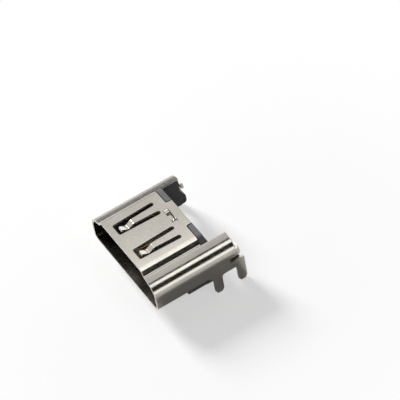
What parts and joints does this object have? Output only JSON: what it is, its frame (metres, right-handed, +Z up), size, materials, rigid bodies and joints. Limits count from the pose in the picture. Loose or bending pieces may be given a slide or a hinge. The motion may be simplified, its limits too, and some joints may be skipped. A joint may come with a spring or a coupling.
{
  "type": "board-mount video socket",
  "caption": "Board-mount digital video socket: a formed steel shell with spring fingers and solder legs round a black housing with a contact tongue and rear solder tails.",
  "frame": {"origin": "on the board plane, midway between the two front legs", "axes": "X across the width of the mouth, -Y out of the mouth, +Z up from the board towards the narrow face"},
  "size_m": [0.0146, 0.012, 0.0077],
  "materials": {
    "shell_steel": "satin",
    "housing_plastic": "moulded",
    "comb_plastic": "moulded",
    "contact_alloy": "plated"
  },
  "bodies": {
    "root": {"shell": "shell_steel", "housing": "housing_plastic", "tail_comb": "comb_plastic", "contact_01": "contact_alloy", "contact_02": "contact_alloy", "contact_03": "contact_alloy", "contact_04": "contact_alloy", "contact_05": "contact_alloy", "contact_06": "contact_alloy", "contact_07": "contact_alloy", "contact_08": "contact_alloy", "contact_09": "contact_alloy", "contact_10": "contact_alloy", "contact_11": "contact_alloy", "contact_12": "contact_alloy", "contact_13": "contact_alloy", "contact_14": "contact_alloy", "contact_15": "contact_alloy", "contact_16": "contact_alloy", "contact_17": "contact_alloy", "contact_18": "contact_alloy", "contact_19": "contact_alloy"}
  },
  "joints": []
}
